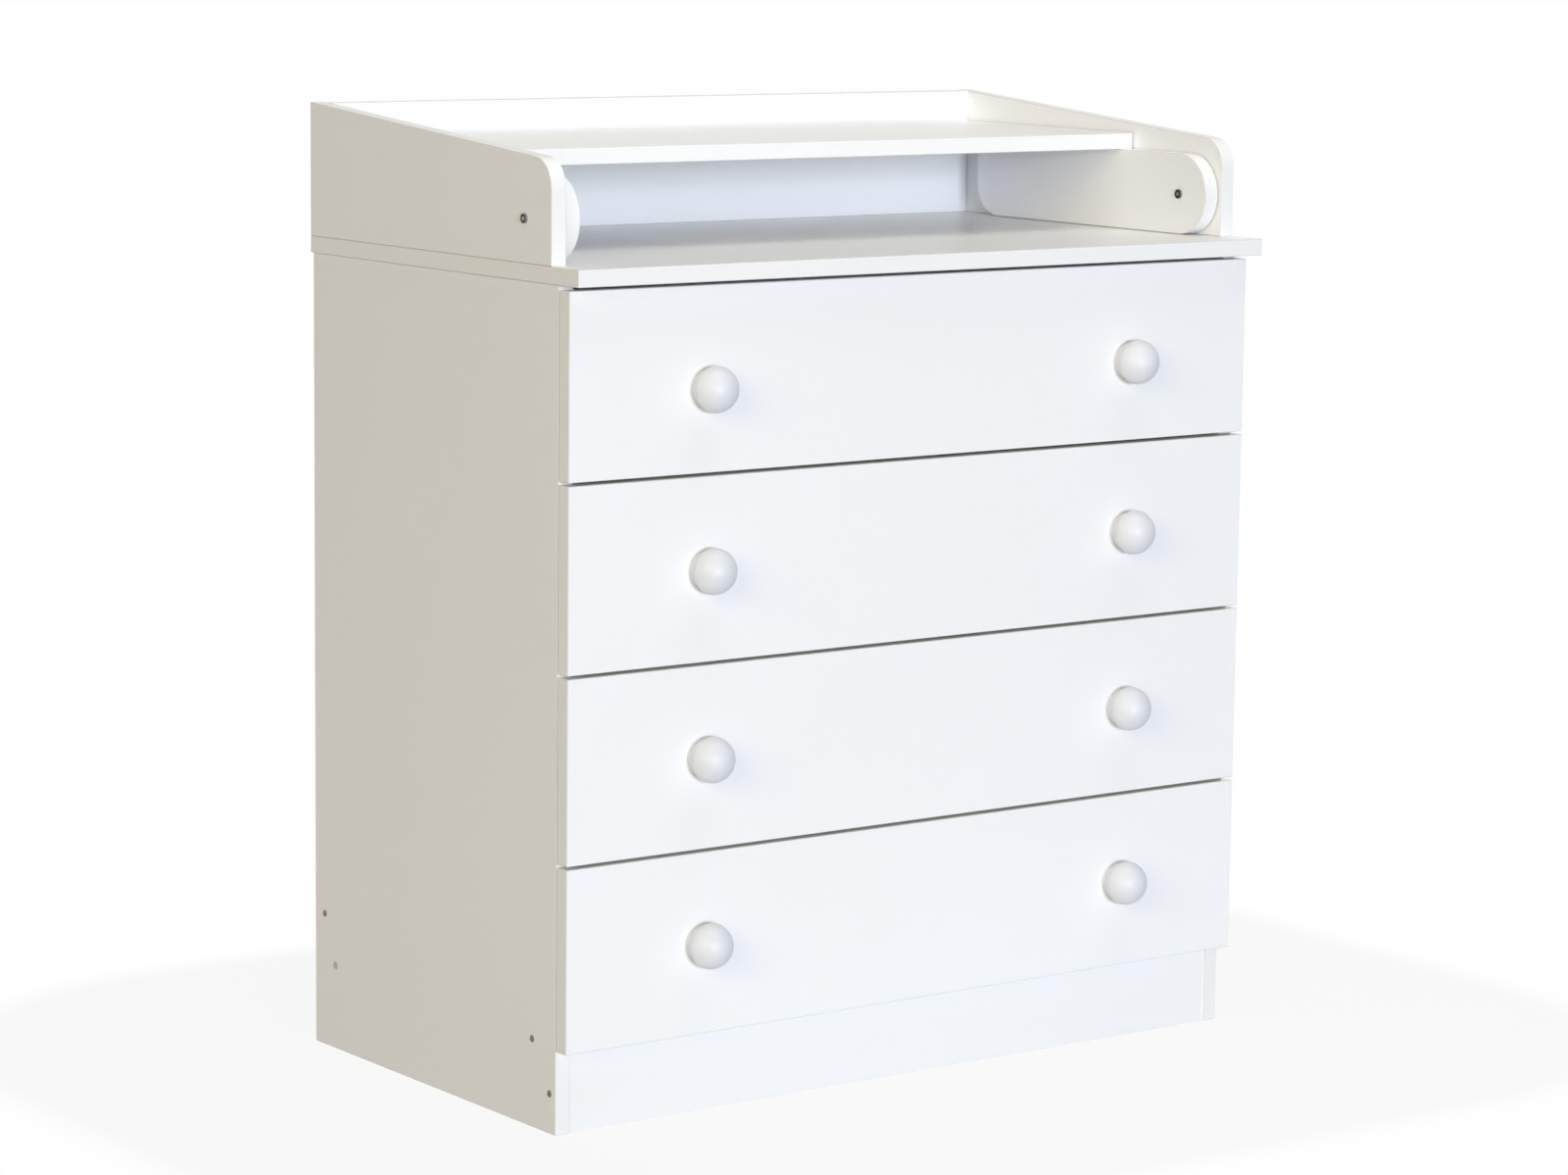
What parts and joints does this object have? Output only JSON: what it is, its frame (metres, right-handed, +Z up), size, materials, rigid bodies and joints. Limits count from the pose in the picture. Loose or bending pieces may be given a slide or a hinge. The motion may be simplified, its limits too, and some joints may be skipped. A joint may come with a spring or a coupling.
{
  "type": "changing dresser",
  "caption": "Chest of drawers with a fold-over changing board pivoted between raised guard boards, overlay fronts with round knobs, and drawers on roller runners.",
  "frame": {"origin": "middle of the floor under the dresser, at the centre of its outline seen from above", "axes": "+Z up, the drawers face -Y, +X to the right of someone who faces the drawers"},
  "size_m": [0.8096, 0.478, 0.9195],
  "materials": {
    "white_laminate": "white satin melamine on 16 mm chipboard, edges banded",
    "drawer_board": "white foil on 12 mm chipboard",
    "hardboard": "hardboard, white lacquer on the side that faces the inside",
    "knob_plastic": "white moulded plastic, polished",
    "coated_steel": "white epoxy coating on folded sheet steel",
    "nylon": "white nylon",
    "pivot_steel": "zinc plated"
  },
  "bodies": {
    "carcass": {"left_side_panel": "white_laminate", "right_side_panel": "white_laminate", "bottom_panel": "white_laminate", "front_plinth": "white_laminate", "rear_rail": "white_laminate", "back_panel": "hardboard", "top_panel": "white_laminate", "left_guard_board": "white_laminate", "right_guard_board": "white_laminate", "back_guard_board": "white_laminate", "left_cabinet_runners": "coated_steel", "right_cabinet_runners": "coated_steel", "left_pivot_bolt": "pivot_steel", "right_pivot_bolt": "pivot_steel"},
    "changing_board": {"changing_shelf": "white_laminate", "left_arm": "white_laminate", "right_arm": "white_laminate"},
    "drawer_1": {"drawer_1_front": "white_laminate", "drawer_1_left_side": "drawer_board", "drawer_1_right_side": "drawer_board", "drawer_1_back": "drawer_board", "drawer_1_bottom": "hardboard", "drawer_1_left_knob": "knob_plastic", "drawer_1_right_knob": "knob_plastic", "drawer_1_runners": "coated_steel"},
    "front_rollers_1": {"front_rollers_1": "nylon"},
    "rear_rollers_1": {"rear_rollers_1": "nylon"},
    "drawer_2": {"drawer_2_front": "white_laminate", "drawer_2_left_side": "drawer_board", "drawer_2_right_side": "drawer_board", "drawer_2_back": "drawer_board", "drawer_2_bottom": "hardboard", "drawer_2_left_knob": "knob_plastic", "drawer_2_right_knob": "knob_plastic", "drawer_2_runners": "coated_steel"},
    "front_rollers_2": {"front_rollers_2": "nylon"},
    "rear_rollers_2": {"rear_rollers_2": "nylon"},
    "drawer_3": {"drawer_3_front": "white_laminate", "drawer_3_left_side": "drawer_board", "drawer_3_right_side": "drawer_board", "drawer_3_back": "drawer_board", "drawer_3_bottom": "hardboard", "drawer_3_left_knob": "knob_plastic", "drawer_3_right_knob": "knob_plastic", "drawer_3_runners": "coated_steel"},
    "front_rollers_3": {"front_rollers_3": "nylon"},
    "rear_rollers_3": {"rear_rollers_3": "nylon"},
    "drawer_4": {"drawer_4_front": "white_laminate", "drawer_4_left_side": "drawer_board", "drawer_4_right_side": "drawer_board", "drawer_4_back": "drawer_board", "drawer_4_bottom": "hardboard", "drawer_4_left_knob": "knob_plastic", "drawer_4_right_knob": "knob_plastic", "drawer_4_runners": "coated_steel"},
    "front_rollers_4": {"front_rollers_4": "nylon"},
    "rear_rollers_4": {"rear_rollers_4": "nylon"}
  },
  "joints": [
    {"name": "changing_board_fold", "type": "hinge", "parent": "carcass", "child": "changing_board", "pos_m": [0, -0.136, 0.832], "axis": [1, 0, 0], "range_deg": [0, 180]},
    {"name": "drawer_1_slide", "type": "slide", "parent": "carcass", "child": "drawer_1", "axis": [0, -1, 0], "range_m": [0, 0.27]},
    {"name": "front_rollers_1_spin", "type": "hinge", "parent": "carcass", "child": "front_rollers_1", "pos_m": [0, -0.173, 0.634], "axis": [1, 0, 0], "continuous": true},
    {"name": "rear_rollers_1_spin", "type": "hinge", "parent": "drawer_1", "child": "rear_rollers_1", "pos_m": [0, 0.15, 0.631], "axis": [1, 0, 0], "continuous": true},
    {"name": "drawer_2_slide", "type": "slide", "parent": "carcass", "child": "drawer_2", "axis": [0, -1, 0], "range_m": [0, 0.27]},
    {"name": "front_rollers_2_spin", "type": "hinge", "parent": "carcass", "child": "front_rollers_2", "pos_m": [0, -0.173, 0.46], "axis": [1, 0, 0], "continuous": true},
    {"name": "rear_rollers_2_spin", "type": "hinge", "parent": "drawer_2", "child": "rear_rollers_2", "pos_m": [0, 0.15, 0.457], "axis": [1, 0, 0], "continuous": true},
    {"name": "drawer_3_slide", "type": "slide", "parent": "carcass", "child": "drawer_3", "axis": [0, -1, 0], "range_m": [0, 0.27]},
    {"name": "front_rollers_3_spin", "type": "hinge", "parent": "carcass", "child": "front_rollers_3", "pos_m": [0, -0.173, 0.286], "axis": [1, 0, 0], "continuous": true},
    {"name": "rear_rollers_3_spin", "type": "hinge", "parent": "drawer_3", "child": "rear_rollers_3", "pos_m": [0, 0.15, 0.283], "axis": [1, 0, 0], "continuous": true},
    {"name": "drawer_4_slide", "type": "slide", "parent": "carcass", "child": "drawer_4", "axis": [0, -1, 0], "range_m": [0, 0.27]},
    {"name": "front_rollers_4_spin", "type": "hinge", "parent": "carcass", "child": "front_rollers_4", "pos_m": [0, -0.173, 0.112], "axis": [1, 0, 0], "continuous": true},
    {"name": "rear_rollers_4_spin", "type": "hinge", "parent": "drawer_4", "child": "rear_rollers_4", "pos_m": [0, 0.15, 0.109], "axis": [1, 0, 0], "continuous": true}
  ],
  "couplings": [
    {"joint": "front_rollers_1_spin", "follows": "drawer_1_slide", "rad_per_m": 100},
    {"joint": "rear_rollers_1_spin", "follows": "drawer_1_slide", "rad_per_m": 100},
    {"joint": "front_rollers_2_spin", "follows": "drawer_2_slide", "rad_per_m": 100},
    {"joint": "rear_rollers_2_spin", "follows": "drawer_2_slide", "rad_per_m": 100},
    {"joint": "front_rollers_3_spin", "follows": "drawer_3_slide", "rad_per_m": 100},
    {"joint": "rear_rollers_3_spin", "follows": "drawer_3_slide", "rad_per_m": 100},
    {"joint": "front_rollers_4_spin", "follows": "drawer_4_slide", "rad_per_m": 100},
    {"joint": "rear_rollers_4_spin", "follows": "drawer_4_slide", "rad_per_m": 100}
  ]
}
